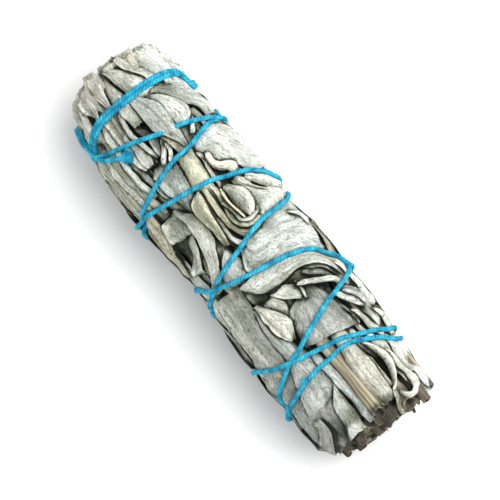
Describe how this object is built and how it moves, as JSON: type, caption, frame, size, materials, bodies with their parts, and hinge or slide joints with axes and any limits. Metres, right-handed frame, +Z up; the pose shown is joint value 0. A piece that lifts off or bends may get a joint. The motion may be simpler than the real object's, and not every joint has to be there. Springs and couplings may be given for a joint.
{
  "type": "sage bunch",
  "caption": "Dried white sage bunch: packed leaves and cut stems bound with one criss-crossed cotton string, lying on its side.",
  "frame": {"origin": "under the middle of the bunch, on the surface that it rests on", "axes": "+X along the bunch from the leafy tip end to the cut stem end, +Z up"},
  "size_m": [0.13, 0.041, 0.0389],
  "materials": {
    "sage_leaf": "matt felted dry leaf",
    "sage_stem": "dry bark",
    "cotton_string": "twisted cotton"
  },
  "bodies": {
    "root": {"leaf_bunch": "sage_leaf", "binding_string": "cotton_string", "stem_split_end": "sage_stem", "stem_with_nodes": "sage_stem", "stem_hollow_end": "sage_stem", "stem_thin": "sage_stem", "stem_upper_inner": "sage_stem", "stem_right_side": "sage_stem", "stem_left_upper": "sage_stem", "stem_left_side": "sage_stem", "stem_left_lower": "sage_stem", "stem_left_inner": "sage_stem", "stem_centre": "sage_stem", "stem_right_inner": "sage_stem", "stem_right_lower": "sage_stem", "stem_low": "sage_stem"}
  },
  "joints": []
}
